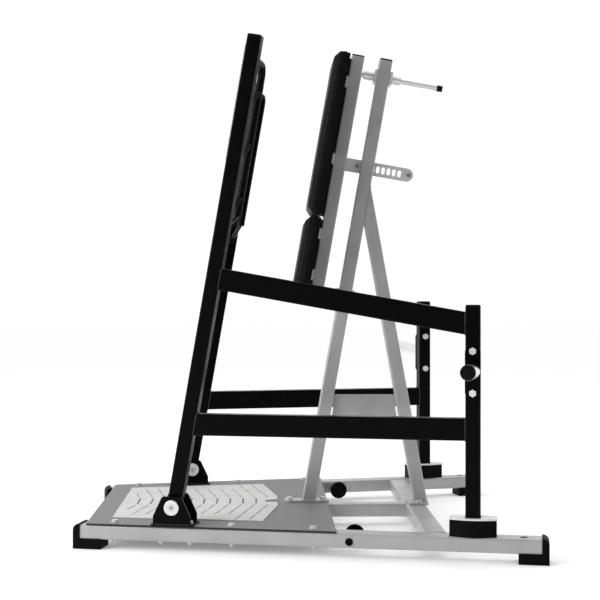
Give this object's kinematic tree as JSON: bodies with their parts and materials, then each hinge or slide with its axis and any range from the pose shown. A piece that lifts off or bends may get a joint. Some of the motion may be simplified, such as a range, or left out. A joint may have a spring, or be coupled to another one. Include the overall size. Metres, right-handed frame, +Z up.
{
  "type": "plate-loaded standing press machine",
  "caption": "Plate-loaded standing press machine with two pivoting side arms, slanted grips, weight pegs, a foot plate and back pads on an adjustable carriage.",
  "frame": {"origin": "on the floor, in the symmetry plane, midway along the machine", "axes": "+Z up, -X is the front, the way the user faces; +Y is the user's right"},
  "size_m": [1.6227, 2.0822, 1.8133],
  "materials": {
    "black_coat": "satin powder coat",
    "silver_coat": "satin silver powder coat",
    "plate_coat": "fine textured powder coat",
    "tread": "matt anti-slip insert",
    "zinc": "zinc plated",
    "chrome": "polished",
    "rubber": "matt",
    "black_plastic": "fine grain",
    "nylon": "plain",
    "vinyl": "fine leather-grain vinyl"
  },
  "bodies": {
    "base": {"left_rail": "silver_coat", "right_rail": "silver_coat", "centre_rail": "silver_coat", "rear_crossbar": "silver_coat", "front_crossbar": "silver_coat", "foot_plate": "plate_coat", "tread_insert": "tread", "rubber_feet": "rubber", "left_pivot_bracket": "black_coat", "right_pivot_bracket": "black_coat", "pivot_pins": "zinc", "rear_bumpers": "rubber", "band_pegs": "black_coat", "column": "silver_coat", "column_cap": "black_plastic", "brace": "silver_coat", "gusset": "silver_coat", "base_plates": "silver_coat", "frame_bolts": "zinc", "guide_housings": "zinc", "guide_bushes": "nylon"},
    "left_arm": {"left_upright": "black_coat", "left_pivot_hub": "black_coat", "left_upper_strut": "black_coat", "left_lower_strut": "black_coat", "left_rear_post": "black_coat", "left_post_flange": "zinc", "left_arm_caps": "black_plastic", "left_peg_plate": "black_coat", "left_weight_peg": "chrome", "left_peg_cap": "black_plastic", "left_peg_bolts": "zinc", "left_handle_frame": "black_coat", "left_handle_grips": "rubber", "left_front_strip": "zinc"},
    "right_arm": {"right_upright": "black_coat", "right_pivot_hub": "black_coat", "right_upper_strut": "black_coat", "right_lower_strut": "black_coat", "right_rear_post": "black_coat", "right_post_flange": "zinc", "right_arm_caps": "black_plastic", "right_peg_plate": "black_coat", "right_weight_peg": "chrome", "right_peg_cap": "black_plastic", "right_peg_bolts": "zinc", "right_handle_frame": "black_coat", "right_handle_grips": "rubber", "right_front_strip": "zinc"},
    "pad_carriage": {"carriage_tube": "silver_coat", "carriage_caps": "black_plastic", "guide_rods": "zinc", "selector_plate": "zinc", "selector_screws": "zinc", "pad_brackets": "zinc", "pad_boards": "black_plastic", "main_pad": "vinyl", "lower_pad": "vinyl"},
    "selector_pin": {"selector_pin": "zinc", "selector_knob": "black_plastic"}
  },
  "joints": [
    {"name": "left_arm_pivot", "type": "hinge", "parent": "base", "child": "left_arm", "pos_m": [-0.452, -0.482, 0.153], "axis": [-0.2028, -0.9792, 0], "range_deg": [0, 30]},
    {"name": "right_arm_pivot", "type": "hinge", "parent": "base", "child": "right_arm", "pos_m": [-0.452, 0.482, 0.153], "axis": [0.2028, -0.9792, 0], "range_deg": [0, 30]},
    {"name": "pad_slide", "type": "slide", "parent": "base", "child": "pad_carriage", "axis": [-0.9848, 0, 0.1736], "range_m": [0, 0.126]},
    {"name": "pin_slide", "type": "slide", "parent": "base", "child": "selector_pin", "axis": [0, -1, 0], "range_m": [0, 0.014]}
  ]
}
